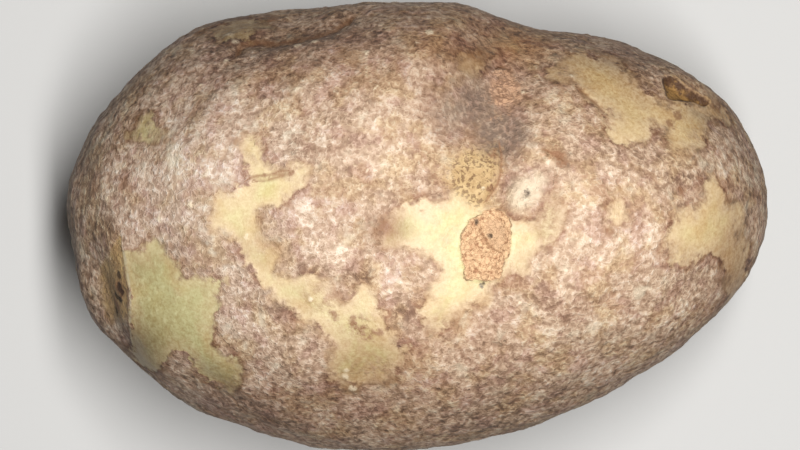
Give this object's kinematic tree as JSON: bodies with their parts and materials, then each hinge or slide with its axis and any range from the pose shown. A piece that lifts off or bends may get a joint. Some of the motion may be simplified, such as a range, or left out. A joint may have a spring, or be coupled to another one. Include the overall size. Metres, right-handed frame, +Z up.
{
  "type": "potato",
  "caption": "Whole raw potato tuber, oval and slightly tapered, with scurfy skin, shallow eyes and a small flat resting spot on its underside.",
  "frame": {"origin": "on the surface that the tuber rests on, under the middle of its bounding box", "axes": "+X along the tuber to its narrower end, +Y across it to the flank with the brow dent, +Z up from the flat resting spot"},
  "size_m": [0.1054, 0.0674, 0.056],
  "materials": {
    "potato_skin": "matte"
  },
  "bodies": {
    "root": {"potato": "potato_skin"}
  },
  "joints": []
}
